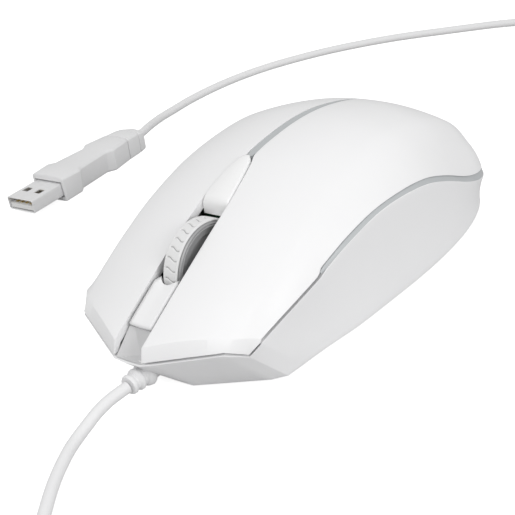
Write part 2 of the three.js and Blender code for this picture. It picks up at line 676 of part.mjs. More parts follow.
add('middle_switch', tactSwitch(MIDDLE_SWITCH.x, MIDDLE_SWITCH.y, boardTop() + GAP), 'black');
add('middle_plunger', switchPlunger(MIDDLE_SWITCH.x, MIDDLE_SWITCH.y, middlePlungerTop(), PLUNGER_LONG.tact), 'red');
add('dpi_switch', tactSwitch(0, DPI_STEM_Y, UPPER_BOARD.z + UPPER_BOARD.thick + GAP), 'black');
add('dpi_plunger', switchPlunger(0, DPI_STEM_Y, dpiPlungerTop(), PLUNGER_LONG.tact), 'red');
add('optical_sensor', opticalSensor(), 'black');
add('sensor_lens', sensorLens(), 'clear');
add('cable_connector', cableConnector(), 'foot');
add('sensor_light', light(0, 10, boardTop() + GAP), 'clear');
add('left_light', light(18, 14, boardTop() + GAP), 'clear');
add('right_light', light(-18, 14, boardTop() + GAP), 'clear');
[...PALM_BOSSES, FRONT_BOSS].forEach(([x, y], i) => add(`screw_${i + 1}`, screw(x, y), 'steel'));
add('front_foot', foot(-40, 17, 3), 'foot');
add('rear_foot', foot(50, 17, -6), 'foot');
add('strain_relief', strainRelief(), 'cord');
add('cable_front', cable(FRONT_ROUTE, 22), 'cord');
add('cable_coil', cableCoil(), 'cord');
add('cable_back', cable(BACK_ROUTE, 56), 'cord');
add('plug_grip', askew(plugGrip()), 'cord');
add('plug_collar', askew(plugCollar()), 'cord');
add('plug_shell', askew(plugShell()), 'steel');
add('plug_tongue', askew(plugTongue()), 'foot');
for (let i = 0; i < 4; i++) add(`plug_contact_${i + 1}`, askew(plugContact(i)), 'gold');

export default mouse;
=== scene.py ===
"""A wired computer mouse with its USB plug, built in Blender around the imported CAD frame.

Sizes are in millimetres, in the drawing's own axes: +Z up, the nose towards -Y, the left flank towards +X.
at() turns them into metres in the CAD frame.
"""

import math

import bmesh
import bpy
from mathutils import Matrix, Vector


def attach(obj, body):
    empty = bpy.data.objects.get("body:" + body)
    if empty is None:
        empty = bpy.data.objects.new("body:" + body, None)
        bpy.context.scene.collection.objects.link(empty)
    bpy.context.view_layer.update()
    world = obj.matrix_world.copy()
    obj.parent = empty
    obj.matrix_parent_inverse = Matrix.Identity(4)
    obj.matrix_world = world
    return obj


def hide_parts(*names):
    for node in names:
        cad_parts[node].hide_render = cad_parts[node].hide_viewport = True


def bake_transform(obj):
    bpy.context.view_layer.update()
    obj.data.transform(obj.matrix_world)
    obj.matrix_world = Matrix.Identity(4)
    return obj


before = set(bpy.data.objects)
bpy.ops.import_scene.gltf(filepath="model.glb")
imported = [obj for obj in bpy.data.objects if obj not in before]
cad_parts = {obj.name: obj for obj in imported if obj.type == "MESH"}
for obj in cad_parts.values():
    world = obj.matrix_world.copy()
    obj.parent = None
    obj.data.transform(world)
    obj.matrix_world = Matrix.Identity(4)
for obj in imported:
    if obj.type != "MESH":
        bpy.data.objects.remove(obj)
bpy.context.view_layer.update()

# ---------- driving dimensions, nearly all as in the CAD ----------
MIDDLE_Y = 3.35  # the CAD frame's origin is here on the drawing's own y axis
WIDEST_Y = 12.0
REAR_END = 69.0
CURVES_STOP = REAR_END - 0.02  # the curves are steep at the very end, so the surface is read up to here
BASE_Z = 1.0  # the underside, on top of the glide feet
WALL = 1.8  # thickness of the base's floor
FLEX_Y = 2.0  # the line where each side of the palm bends into its button
CHANNEL = 4.3  # half the width of the channel between the buttons
BRIDGE = 3.45  # half the width of the piece in it
DPI_FRONT = -23.4
DPI_TAIL = -8.6
SPINE_END = 46.3
WHEEL_Y = -31.2
WHEEL_Z = 20.0
WHEEL_RADIUS = 11.9
CORD = 2.9  # the cable's diameter
FLOOR = CORD / 2  # the height of its middle where it lies on the floor
GLAND_TIP = -62.3
GLAND_LENGTH = 12.3
GLAND_Z = 5.3
PLUG_X = -110.4
PLUG_FRONT = -0.9
PLUG_WIDTH = 12.0
PLUG_HEIGHT = 4.5
PLUG_MIDDLE = 4.1  # the height of the middle of the plug's shell
GRIP_FRONT = 12.3
ASKEW = 0.035  # how far the plug is turned on the floor, in radians
COIL_X = 65.0
COIL_Y = -109.0
COIL_RADIUS = 16.0


def at(x, y, z):
    return Vector((x, y - MIDDLE_Y, z)) * 0.001


# ---------- curves ----------
def through(pairs):
    """A smooth curve through (place, value) pairs, with slopes taken from the neighbours."""
    last = len(pairs) - 1
    slopes = []
    for i in range(len(pairs)):
        before, after = pairs[max(i - 1, 0)], pairs[min(i + 1, last)]
        slopes.append((after[1] - before[1]) / (after[0] - before[0]))

    def value(place):
        i = 0
        while i < last - 1 and place > pairs[i + 1][0]:
            i += 1
        (x0, v0), (x1, v1) = pairs[i], pairs[i + 1]
        span = x1 - x0
        t = min(max((place - x0) / span, 0.0), 1.0)
        square, cube = t * t, t * t * t
        return ((2 * cube - 3 * square + 1) * v0 + (cube - 2 * square + t) * span * slopes[i]
                + (3 * square - 2 * cube) * v1 + (cube - square) * span * slopes[i + 1])

    return value


def turn_of(y):
    """How far a place is along the mouse: straight in front of the widest section, and an angle behind it."""
    share = (y - WIDEST_Y) / (REAR_END - WIDEST_Y)
    return share if share < 0 else math.asin(min(share, 1.0))


def outline(pairs):
    curve = through([(turn_of(y), value) for y, value in pairs])
    return lambda y: curve(turn_of(y))


def smooth(t):
    t = min(max(t, 0.0), 1.0)
    return t * t * (3 - 2 * t)


crest = outline([(-66, 11.5), (-59, 15.2), (-44, 23.3), (-24, 33.2), (-9, 38.8), (3, 40.5), (14, 40.7),
                 (24, 39.5), (36, 36.4), (46, 32.1), (54, 27.4), (61, 22.4), (66, 17.2), (69, 10.4)])
shoulder_x = outline([(-66, 21), (-50, 23.4), (-39, 25.2), (-30, 26.4), (-20, 26.8), (-4, 27.4),
                      (12, 27.2), (30, 25.8), (46, 23.8), (54, 22.2), (61, 18.8), (66, 12.5), (69, 0)])
shoulder_z = outline([(-66, 9), (-50, 16), (-39, 21.2), (-30, 25), (-20, 29.1), (-4, 32.9), (12, 34.6),
                      (20, 34.3), (32, 31.6), (46, 26.4), (54, 22.6), (61, 18.6), (66, 14.4), (69, 9.6)])
belt_x = outline([(-66, 26), (-48, 27.6), (-40, 28.3), (-32, 29.1), (-23, 30.2), (-14, 31.4), (-4, 32.5),
                  (7, 33.1), (18, 33.1), (27, 32.6), (36, 31.6), (44, 30.3), (52, 28.4), (58, 25.8),
                  (63, 21.8), (66.5, 16), (68.3, 9.4), (69, 0)])
seam_z = outline([(-66, 9.4), (-61, 10.9), (-52, 13.3), (-48, 14.6), (-40, 16.7), (-32, 18.7), (-23, 21.2),
                  (-14, 24.1), (-4, 26.2), (7, 26), (18, 24), (27, 20.6), (42, 13.3), (52, 9.4), (61, 7.4),
                  (69, 6.6)])
foot_x = outline([(-66, 26), (-39, 28.1), (-33.6, 28.4), (-25, 29.5), (-15, 31.1), (0, 32.3), (12, 33),
                  (24, 33), (36, 31.9), (46, 29.6), (54, 26.2), (61, 20.6), (66, 12.5), (69, 0)])
strip_height = outline([(-66, 0), (-25.6, 0), (-23.6, 0.85), (0, 0.95), (20, 1.35), (50, 1.45), (69, 1.4)])
inner_edge = through([(-70, CHANNEL), (-24.6, CHANNEL), (-20.4, 4.0), (-16.4, 3.5), (-12.5, 2.8),
                      (-10.2, 2.15), (-8.6, 1.45), (-7.4, 1.25), (22, 1.25), (36, 0.85), (44, 0.42),
                      (SPINE_END, 0), (70, 0)])


CROWN = 2.2  # the power that bends the middle down to the shoulder
BAND_LIMIT = 0.6  # the strips and the skin's edge stay within this share of the band above the seam
SWELL = 1.1  # how far the band swells near the tail
SWELL_START, SWELL_RUN = 38, 18


def bulge(y, share):
    """How far the band outside the shoulder swells near the tail, at a share of the way to the seam."""
    share = min(max(share, 0.0), 1.0)
    peak_is_one = 6.75
    return SWELL * smooth((y - SWELL_START) / SWELL_RUN) * peak_is_one * share ** 2 * (1 - share)


def top_height(x, y):
    """Height of the top: a crowned middle and a steeper band outside the shoulder, with a soft crease."""
    y = min(y, CURVES_STOP)
    belt = belt_x(y)
    inner = shoulder_x(y)
    crown, shoulder, edge = crest(y), shoulder_z(y), seam_z(y)
    drop = crown - shoulder
    share = min(abs(x) / inner, 1.4)
    crowned = crown - drop * share ** CROWN
    band = belt - inner
    bend = (edge - shoulder) / band + drop * CROWN / inner  # the change of slope at the shoulder
    # The crease is crisp in front and round behind.
    softness = min(0.7 + 5.0 * smooth((y + 52) / 62), band * 0.95)
    beyond = abs(x) - inner
    if beyond <= -softness:
        return crowned
    straight = shoulder + (edge - shoulder) * beyond / band
    exact = straight - crowned - bend * beyond if beyond > 0 else 0.0
    ramp = beyond if beyond >= softness else (beyond + softness) ** 2 / (4 * softness)
    return crowned + exact + bend * ramp + bulge(y, beyond / band)


# ---------- meshes ----------
def sharpen(mesh, angle=32):
    mesh.shade_smooth()
    mesh.set_sharp_from_angle(angle=math.radians(angle))


def build(name, points, faces, angle=32, close=False):
    """A mesh object from points in millimetres, with doubled points merged."""
    mesh = bpy.data.meshes.new(name)
    work = bmesh.new()
    corners = [work.verts.new(at(*point)) for point in points]
    for face in faces:
        try:
            work.faces.new([corners[i] for i in face])
        except ValueError:
            continue
    bmesh.ops.remove_doubles(work, verts=work.verts, dist=2e-6)
    bmesh.ops.dissolve_degenerate(work, edges=work.edges, dist=1e-6)
    if close:
        bmesh.ops.recalc_face_normals(work, faces=work.faces)
    work.to_mesh(mesh)
    work.free()
    sharpen(mesh, angle)
    made = bpy.data.objects.new(name, mesh)
    bpy.context.scene.collection.objects.link(made)
    return made


def grid_faces(rows, columns, ring=False):
    """The faces of a grid of points that are numbered row by row."""
    faces = []
    for i in range(rows - 1):
        for j in range(columns if ring else columns - 1):
            a = i * columns + j
            b = i * columns + (j + 1) % columns
            faces.append((a, b, b + columns, a + columns))
    return faces


def grid(name, rows, angle=32):
    """A patch from rows of points."""
    points = [point for row in rows for point in row]
    return build(name, points, grid_faces(len(rows), len(rows[0])), angle)


def tube(name, rings, angle=32, caps=True):
    """A closed body from rings of points."""
    count = len(rings[0])
    points = [point for ring in rings for point in ring]
    faces = grid_faces(len(rings), count, ring=True)
    if caps:
        faces.append(tuple(range(count))[::-1])
        faces.append(tuple(range(len(points) - count, len(points))))
    return build(name, points, faces, angle, close=True)


def mix(a, b, t):
    return tuple(p + (q - p) * t for p, q in zip(a, b))


def towards(a, b, distance):
    """The point that lies a distance from a towards b, and at most half way."""
    length = math.dist(a, b)
    return a if length < 1e-9 else mix(a, b, min(distance / length, 0.49))


def soften_row(rows, index, radius):
    """Rounds the edge that a row of a grid makes: the row becomes a few rows on an arc."""
    steps = 3
    new_rows = []
    for k in range(steps + 1):
        t = k / steps
        row = []
        for before, corner, after in zip(rows[index - 1], rows[index], rows[index + 1]):
            start, end = towards(corner, before, radius), towards(corner, after, radius)
            row.append(mix(mix(start, corner, t), mix(corner, end, t), t))
        new_rows.append(row)
    return rows[:index] + new_rows + rows[index + 1:]


def turned(rows):
    """A grid with its rows and columns exchanged."""
    return [list(column) for column in zip(*rows)]


def mirrored(rows):
    return [[(-x, y, z) for x, y, z in row] for row in rows]


def thicken(made, thickness):
    """Gives an open patch its wall, on the side away from its normals."""
    wall = made.modifiers.new("wall", "SOLIDIFY")
    wall.thickness = thickness * 0.001
    wall.offset = -1
    return made


def lathe(name, profile, place, sides=48, axis="Y", angle=32):
    """A body turned about an axis along X, -Y or Z, from (distance along the axis, radius) points."""
    rings = []
    for along, radius in profile:
        ring = []
        for i in range(sides):
            a = 2 * math.pi * i / sides
            c, s = radius * math.cos(a), radius * math.sin(a)
            offset = {"X": (along, c, s), "Y": (c, -along, s), "Z": (c, s, along)}[axis]
            ring.append(tuple(p + q for p, q in zip(place, offset)))
        rings.append(ring)
    return tube(name, rings, angle)


def block(name, low, high):
    """A block between two corners."""
    xs, ys, zs = zip(low, high)
    corners = [(x, y, z) for x in xs for y in ys for z in zs]
    faces = [(0, 1, 3, 2), (4, 6, 7, 5), (0, 4, 5, 1), (2, 3, 7, 6), (0, 2, 6, 4), (1, 5, 7, 3)]
    return build(name, corners, faces, close=True)


def rounded_block(name, low, high, edge):
    """A block with its edges rounded off."""
    return round_edges(block(name, low, high), edge)


def round_edges(made, width, segments=2, angle=40):
    bevel = made.modifiers.new("edges", "BEVEL")
    bevel.width = width * 0.001
    bevel.segments = segments
    bevel.limit_method = "ANGLE"
    bevel.angle_limit = math.radians(angle)
    return made


def bake(made):
    """Applies an object's modifiers."""
    bpy.context.view_layer.update()
    graph = bpy.context.evaluated_depsgraph_get()
    made.data = bpy.data.meshes.new_from_object(made.evaluated_get(graph))
    made.modifiers.clear()
    sharpen(made.data)
    return made


def cut(made, cutter):
    """Takes the cutter out of an object, and removes the cutter."""
    hole = made.modifiers.new("hole", "BOOLEAN")
    hole.object = cutter
    hole.operation = "DIFFERENCE"
    hole.solver = "EXACT"
    bake(made)
    bpy.data.objects.remove(cutter)
    return made


# ---------- materials ----------
def material(name):
    made = bpy.data.materials.new(name)
    made.use_nodes = True
    return made, made.node_tree, made.node_tree.nodes["Principled BSDF"]


def place_texture(tree, scale=(1, 1, 1)):
    """Object coordinates, stretched."""
    coordinates = tree.nodes.new("ShaderNodeTexCoord")
    mapping = tree.nodes.new("ShaderNodeMapping")
    mapping.inputs["Scale"].default_value = scale
    tree.links.new(coordinates.outputs["Object"], mapping.inputs["Vector"])
    return mapping.outputs["Vector"]


def noise(tree, where, scale, detail=4):
    node = tree.nodes.new("ShaderNodeTexNoise")
    node.inputs["Scale"].default_value = scale
    node.inputs["Detail"].default_value = detail
    tree.links.new(where, node.inputs["Vector"])
    return node.outputs["Fac"]


def between(tree, factor, low, high):
    """A colour or a number that runs from low to high with a factor."""
    ramp = tree.nodes.new("ShaderNodeValToRGB")
    for element, value in zip(ramp.color_ramp.elements, (low, high)):
        element.color = (*value, 1) if isinstance(value, tuple) else (value, value, value, 1)
    ramp.color_ramp.elements[0].position = 0.3
    ramp.color_ramp.elements[1].position = 0.7
    tree.links.new(factor, ramp.inputs["Fac"])
    return ramp.outputs["Color"]


def bump(tree, shader, height, strength, distance):
    node = tree.nodes.new("ShaderNodeBump")
    node.inputs["Strength"].default_value = strength
    node.inputs["Distance"].default_value = distance
    tree.links.new(height, node.inputs["Height"])
    tree.links.new(node.outputs["Normal"], shader.inputs["Normal"])


def shade(colour, by):
    return tuple(channel * by for channel in colour)


GRAIN_DEPTH = 0.000012  # in metres


def moulded(name, colour, roughness, grain=2600, strength=0.25, vary=0.985, coat=0.0):
    """Moulded plastic: a fine even grain, faint cloudiness in its colour and in its gloss."""
    made, tree, shader = material(name)
    where = place_texture(tree)
    cloud = noise(tree, where, 38, 3)
    tree.links.new(between(tree, cloud, shade(colour, vary), colour), shader.inputs["Base Color"])
    tree.links.new(between(tree, noise(tree, where, 90, 5), roughness * 0.93, roughness * 1.07),
                   shader.inputs["Roughness"])
    bump(tree, shader, noise(tree, where, grain, 2), strength, GRAIN_DEPTH)
    shader.inputs["Coat Weight"].default_value = coat
    shader.inputs["Coat Roughness"].default_value = 0.25
    shader.inputs["IOR"].default_value = 1.46
    return made


def brushed(name, colour, roughness, along, metal=1.0):
    """Metal with fine lines along one axis."""
    made, tree, shader = material(name)
    stretch = [2500.0, 2500.0, 2500.0]
    stretch["XYZ".index(along)] = 60.0
    lines = noise(tree, place_texture(tree, stretch), 1, 3)
    tree.links.new(between(tree, lines, shade(colour, 0.93), colour), shader.inputs["Base Color"])
    tree.links.new(between(tree, lines, roughness * 0.8, roughness * 1.25), shader.inputs["Roughness"])
    bump(tree, shader, lines, 0.2, 0.00001)
    shader.inputs["Metallic"].default_value = metal
    return made


def circuit_board(name):
    """Green solder mask with a net of paler tracks."""
    made, tree, shader = material(name)
    where = place_texture(tree)
    cells = tree.nodes.new("ShaderNodeTexVoronoi")
    cells.feature = "DISTANCE_TO_EDGE"
    cells.inputs["Scale"].default_value = 320
    tree.links.new(where, cells.inputs["Vector"])
    tracks = between(tree, cells.outputs["Distance"], (0.03, 0.2, 0.09), (0.01, 0.1, 0.045))
    tree.links.new(tracks, shader.inputs["Base Color"])
    bump(tree, shader, cells.outputs["Distance"], 0.15, 0.00003)
    shader.inputs["Roughness"].default_value = 0.35
    return made


def clear_plastic(name):
    made, tree, shader = material(name)
    where = place_texture(tree)
    bump(tree, shader, noise(tree, where, 900, 2), 0.08, 0.00001)
    tree.links.new(between(tree, noise(tree, where, 60), (0.86, 0.89, 0.9), (0.93, 0.95, 0.96)),
                   shader.inputs["Base Color"])
    shader.inputs["Roughness"].default_value = 0.12
    shader.inputs["Transmission Weight"].default_value = 0.85
    shader.inputs["IOR"].default_value = 1.49
    return made


def light_strip(name, colour):
    """A frosted light guide, unlit: pale grey, a little bluish, with a soft gloss."""
    made, tree, shader = material(name)
    where = place_texture(tree)
    tree.links.new(between(tree, noise(tree, where, 120, 3), shade(colour, 0.96), colour),
                   shader.inputs["Base Color"])
    bump(tree, shader, noise(tree, where, 1800, 2), 0.2, 0.00001)
    shader.inputs["Roughness"].default_value = 0.38
    shader.inputs["Coat Weight"].default_value = 0.2
    return made


# One material for each slot of the record, and two more that only this model uses: groove, a darker grey that
# paints the shade at the bottom of the tyre's grooves, and recess, a grey that paints the shade in the
# faceted recess at the nose.
MATERIALS = {
    "shell": moulded("shell_white", (0.9, 0.9, 0.905), 0.42, coat=0.12),
    "base": moulded("base_white", (0.855, 0.855, 0.862), 0.5),
    "strip": light_strip("strip_frost", (0.5, 0.52, 0.53)),
    "pearl": moulded("pearl_white", (0.93, 0.93, 0.93), 0.24, grain=5000, strength=0.12, coat=0.4),
    "tyre": moulded("tyre_rubber", (0.8, 0.8, 0.8), 0.6, grain=3500, strength=0.4),
    # painted shade: this darker grey stands for the shade at the bottom of the tyre's grooves
    "groove": moulded("tyre_groove_painted_shade", (0.5, 0.5, 0.5), 0.7, grain=3500),
    "hub": moulded("hub_grey", (0.36, 0.36, 0.365), 0.3, strength=0.3, vary=0.9, coat=0.3),
    # painted shade: a grey for the faceted recess at the nose, which stands for the shade in it
    "recess": moulded("recess_painted_shade", (0.62, 0.62, 0.625), 0.5),
    "cord": moulded("cord_white", (0.84, 0.84, 0.845), 0.55, grain=3000, strength=0.35),
    "steel": brushed("plug_steel", (0.93, 0.93, 0.935), 0.34, "Y", 0.4),
    "gold": brushed("contact_gold", (0.8, 0.6, 0.25), 0.25, "Y"),
    "board": circuit_board("board_green"),
    "black": moulded("inner_black", (0.03, 0.03, 0.032), 0.5, vary=0.8),
    "clear": clear_plastic("clear_plastic"),
    "foot": moulded("foot_white", (0.86, 0.86, 0.85), 0.55, grain=1800, strength=0.4),
    "red": moulded("plunger_red", (0.45, 0.03, 0.03), 0.4, vary=0.9),
}


def finish_piece(made, slot, body, *nodes):
    """Gives a piece its material, its slot and its body, and the CAD nodes that it stands for."""
    made.data.materials.clear()
    made.data.materials.append(MATERIALS[slot])
    if body:
        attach(made, body)
    if nodes:
        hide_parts(*nodes)
    return made


# ---------- camera ----------
def make_camera():
    """A long lens in front of the left flank, tilted to its side."""
    azimuth, elevation, roll = math.radians(43.478), math.radians(27.401), math.radians(-10.973)
    distance, pan_right, pan_up = 294.12, -9.71, 5.19
    back = Vector((math.sin(azimuth) * math.cos(elevation), -math.cos(azimuth) * math.cos(elevation),
                   math.sin(elevation)))
    level = Vector((math.cos(azimuth), math.sin(azimuth), 0))
    upright = back.cross(level)
    right = level * math.cos(roll) + upright * math.sin(roll)
    up = upright * math.cos(roll) - level * math.sin(roll)
    data = bpy.data.cameras.new("camera")
    data.lens = 77.45
    data.sensor_width = 36
    data.clip_start = 0.01
    data.clip_end = 20
    camera = bpy.data.objects.new("camera", data)
    place = at(*(back * distance + right * pan_right + up * pan_up))
    camera.matrix_world = Matrix.Translation(place) @ Matrix((right, up, back)).transposed().to_4x4()
    bpy.context.scene.collection.objects.link(camera)
    bpy.context.scene.camera = camera


# ---------- cable ----------
FRONT_ROUTE = [
    (0, -62.6, 5.2), (-0.4, -65, 5), (-1.1, -67.5, 4.5), (-1.4, -70, 3.95), (-1.5, -72.2, 3.4),
    (-1.5, -74.2, 2.75), (-1.4, -76.2, 2.2), (-0.9, -79.4, 1.6), (0, -82, FLOOR), (1.4, -84.8, FLOOR),
    (4.1, -89.6, FLOOR), (6.6, -93.4, FLOOR), (10, -98, FLOOR), (14.7, -104, FLOOR), (20.8, -111, FLOOR),
    (28.5, -117.4, FLOOR), (37, -122.5, FLOOR), (45.4, -126.5, FLOOR), (53.2, -129.4, FLOOR),
]
BACK_ROUTE = [
    (87.1, -117.1, 4.3), (89.3, -110.5, 3.3), (91.4, -103.5, 2.2), (93.7, -95, FLOOR), (97, -81, FLOOR),
    (98.8, -66, FLOOR), (97.6, -50, FLOOR), (91.5, -34, FLOOR), (82, -14, FLOOR), (71, 9, FLOOR),
    (58.5, 34, FLOOR), (46, 60, FLOOR), (32.6, 88, FLOOR), (20, 116, FLOOR), (11, 140, FLOOR),
    (6, 160, FLOOR), (1.5, 178, FLOOR), (-5, 193, FLOOR), (-14.5, 201.6, FLOOR), (-26, 203.4, FLOOR),
    (-39.3, 199.6, FLOOR), (-59.6, 187.8, FLOOR), (-80, 174.2, FLOOR), (-98, 157, FLOOR),
    (-110.4, 139.5, FLOOR), (-116.5, 126.6, FLOOR), (-120.4, 112.3, FLOOR), (-122, 95.8, FLOOR),
    (-121.3, 86.2, 1.6), (-119.3, 75.9, 2.3), (-115.4, 65.8, 3.4), (-113, 60.4, 3.9), (-112.1, 56.6, 4.1),
]
COIL_TURNS = 3  # from the outer turn to the inner one, in each of the two layers
COIL_LINK = 100 / 360 + 1  # turns that aren't spiral, shared by the climb inside and the way out


def coil_points():
    """The cable winds in on the floor, climbs at the inside, and winds out on top of itself."""
    enter = math.radians(-120)
    outer = COIL_RADIUS + 1.5 * CORD
    inner = COIL_RADIUS - 1.5 * CORD
    link = COIL_LINK / 2
    total = 2 * COIL_TURNS + COIL_LINK
    points = []
    steps = int(total * 28)
    for i in range(steps + 1):
        turn = total * i / steps
        winding_in = min(turn / COIL_TURNS, 1.0)
        winding_out = min(max((turn - COIL_TURNS - link) / COIL_TURNS, 0.0), 1.0)
        radius = outer + (inner - outer) * (winding_in - winding_out)
        radius += 3.2 * (1 - smooth(turn / 0.22)) + 3.1 * smooth((turn - total + 0.22) / 0.22)
        height = FLOOR + CORD * smooth((turn - COIL_TURNS) / link)
        a = enter + 2 * math.pi * turn
        points.append((COIL_X + radius * math.cos(a), COIL_Y + radius * math.sin(a), height))
    return points


def catmull_rom(points):
    """A smooth line through the points, by centripetal Catmull-Rom pieces cut about every 2 mm."""
    step = 2.0
    ends = [mix(points[1], points[0], 2), *points, mix(points[-2], points[-1], 2)]
    line = [points[0]]
    for p0, p1, p2, p3 in zip(ends, ends[1:], ends[2:], ends[3:]):
        t0 = 0.0
        t1 = t0 + math.sqrt(math.dist(p0, p1))
        t2 = t1 + math.sqrt(math.dist(p1, p2))
        t3 = t2 + math.sqrt(math.dist(p2, p3))
        count = max(2, round(math.dist(p1, p2) / step))
        for k in range(1, count + 1):
            t = t1 + (t2 - t1) * k / count
            a1 = mix(p0, p1, (t - t0) / (t1 - t0))
            a2 = mix(p1, p2, (t - t1) / (t2 - t1))
            a3 = mix(p2, p3, (t - t2) / (t3 - t2))
            b1 = mix(a1, a2, (t - t0) / (t2 - t0))
            b2 = mix(a2, a3, (t - t1) / (t3 - t1))
            line.append(mix(b1, b2, (t - t1) / (t2 - t1)))
    return line


def make_cable():
    """The whole cable as one round curve, and its middle line."""
    coil = coil_points()
    line = catmull_rom(FRONT_ROUTE + coil[2:-2] + BACK_ROUTE)
    data = bpy.data.curves.new("cable", "CURVE")
    data.dimensions = "3D"
    data.bevel_depth = FLOOR * 0.001
    data.bevel_resolution = 5
    data.use_fill_caps = True
    spline = data.splines.new("POLY")
    spline.points.add(len(line) - 1)
    for point, place in zip(spline.points, line):
        point.co = (*at(*place), 1)
    spline.use_smooth = True
    made = bpy.data.objects.new("cable", data)
    bpy.context.scene.collection.objects.link(made)
    return made, line


# ---------- upper shell ----------
# The skin of one flank runs from the faceted nose to the tail. Its front part is the button.
EDGE_FRONT = [(0.0, -61.55), (23.2, -49.8), (27.75, -45.8)]  # plan of the edge above the nose bevel
BEVEL_FOOT = [(4.4, -60.6, 11.6), (22.4, -52.2, 14.1), (26.1, -48.4, 12.3), (27.9, -46.0, 14.5)]
KNEE = 0.79  # how far across the skin the nose turns its corner
TOOTH = 0.925  # how far across its lowest corner is
LEVEL_Y = -33.0  # the first straight row across the skin
SKIN = 1.0  # how thick the upper shell is
CHANNEL_WALL = 2.4  # how far the skin turns down along the channel
PRESS = 0.0125  # how much room a press of the button needs for each millimetre in front of its hinge


def skin_edge(y):
    """Where the skin ends above the seam or above the light strip: how far out."""
    y = min(y, CURVES_STOP)
    share = strip_height(y) / (shoulder_z(y) - seam_z(y))
    return belt_x(y) - (belt_x(y) - shoulder_x(y)) * min(share, BAND_LIMIT)


def press_room(y):
    """How far below the button a fixed piece stays."""
    return PRESS * max(FLEX_Y - y, 0)


def nose_edge_y(x):
    """How far forward the edge above the nose bevel is, at a distance from the middle."""
    (_, y0), (x1, y1), (x2, y2) = EDGE_FRONT
    return y0 + (y1 - y0) * x / x1 if x < x1 else y1 + (y2 - y1) * (x - x1) / (x2 - x1)


def nose_edge(across):
    """The point of the nose's upper edge at a share of the way across the skin."""
    y = -50.0
    for _ in range(20):
        x = inner_edge(y) + (skin_edge(y) - inner_edge(y)) * across
        y = nose_edge_y(x)
    return x, y, top_height(x, y)


def bevel_foot(across):
    """The point of the nose bevel's lower edge at a share of the way across the skin."""
    shares = (0.0, KNEE, TOOTH, 1.0)
    i = 0
    while i < 2 and across > shares[i + 1]:
        i += 1
    return mix(BEVEL_FOOT[i], BEVEL_FOOT[i + 1], (across - shares[i]) / (shares[i + 1] - shares[i]))


def inward(y):
    """The level direction from the seam into the mouse."""
    y = min(y, REAR_END - 0.05)
    step = 0.02
    run = belt_x(y) - belt_x(y - step)
    length = math.hypot(run, step)
    return (-step / length, run / length, 0.0)


def rear_places(count):
    """Places from the widest section to the tail, closer together towards it."""
    return [WIDEST_Y + (REAR_END - WIDEST_Y) * math.sin(math.pi / 2 * (i + 1) / count) for i in range(count)]


def skin_row(places, shares, inset=0.0, thickness=0.0):
    """A row of points across the skin, or across its inner face, which is lower and narrower."""
    row = []
    for share, y in zip(shares, places):
        inner, outer = inner_edge(y) + inset, skin_edge(y) - 1.2 * inset
        x = max(inner + (outer - inner) * share, 0.0)
        lowest = top_height(skin_edge(y), y) if thickness else -99.0
        high = top_height(skin_edge(y) if y >= REAR_END else x, y)
        row.append((x, y, max(high - thickness, lowest)))
    wall_x, wall_y, wall_z = row[0]
    if thickness:
        deep = max(CHANNEL_WALL - thickness, 0.3)
    else:
        deep = CHANNEL_WALL * smooth((SPINE_END - wall_y) / 8)
    return [(wall_x, wall_y, wall_z - deep), *row]


def skin_rows():
    """The left skin's outer and inner faces: the nose bevel, then the top, and a wall along the channel."""
    even = {i / 38 for i in range(39)}
    nearest = {round(KNEE * 38) / 38, round(TOOTH * 38) / 38}
    shares = sorted((even | {KNEE, TOOTH}) - nearest)
    feet = [bevel_foot(share) for share in shares]
    tops = [nose_edge(share) for share in shares]
    low_x, low_y, low_z = feet[0]
    high_x, high_y, high_z = tops[0]
    outer = [[(low_x, low_y + 1.4, low_z), *feet], [(high_x, high_y + 0.9, high_z - CHANNEL_WALL), *tops]]
    moves = [(0.5 - 1.5 * share) * SKIN for share in (0.0, *shares)]
    inner = [[(x + move, y + SKIN, z) for (x, y, z), move in zip(outer[0], moves)],
             [(x + move, y + 1.1 * SKIN, z - SKIN) for (x, y, z), move in zip(outer[1], moves)]]
    slant_rows = 18
    for i in range(1, slant_rows + 1):
        places = [y_top + (LEVEL_Y - y_top) * i / slant_rows for _, y_top, _ in tops]
        outer.append(skin_row(places, shares))
        inner.append(skin_row([max(y, y_top + 1.4 * SKIN) for y, (_, y_top, _) in zip(places, tops)], shares,
                              SKIN, SKIN))
    straight = [LEVEL_Y + (WIDEST_Y - LEVEL_Y) * (i + 1) / 50 for i in range(50)]
    for y in straight + rear_places(64):
        outer.append(skin_row([y] * len(shares), shares))
        inner.append(skin_row([min(y, REAR_END - 1.2 * SKIN)] * len(shares), shares, SKIN, SKIN))
    return outer, inner


def shell_between(name, outer, inner):
    """A closed body between two grids of points of the same size."""
    rows, columns = len(outer), len(outer[0])
    size = rows * columns
    faces = grid_faces(rows, columns)
    faces += [tuple(size + i for i in face[::-1]) for face in grid_faces(rows, columns)]
    around = ([(i, i + 1) for i in range(columns - 1)]
              + [((i + 1) * columns - 1, (i + 2) * columns - 1) for i in range(rows - 1)]
              + [(size - 1 - i, size - 2 - i) for i in range(columns - 1)]
              + [((rows - 1 - i) * columns, (rows - 2 - i) * columns) for i in range(rows - 1)])
    faces += [(b, a, a + size, b + size) for a, b in around]
    points = [point for row in outer + inner for point in row]
    return build(name, points, faces, 40, close=True)


def make_skin(side, name, key, *nodes):
    """One side's skin, from the faceted nose to the tail."""
    outer, inner = skin_rows()
    if side < 0:
        outer, inner = mirrored(outer), mirrored(inner)
    made = shell_between(name, outer, inner)
    round_edges(made, 0.4, 3, 30)
    bake(made)
    finish_piece(made, "shell", None, *nodes)
    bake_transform(made)
    return made


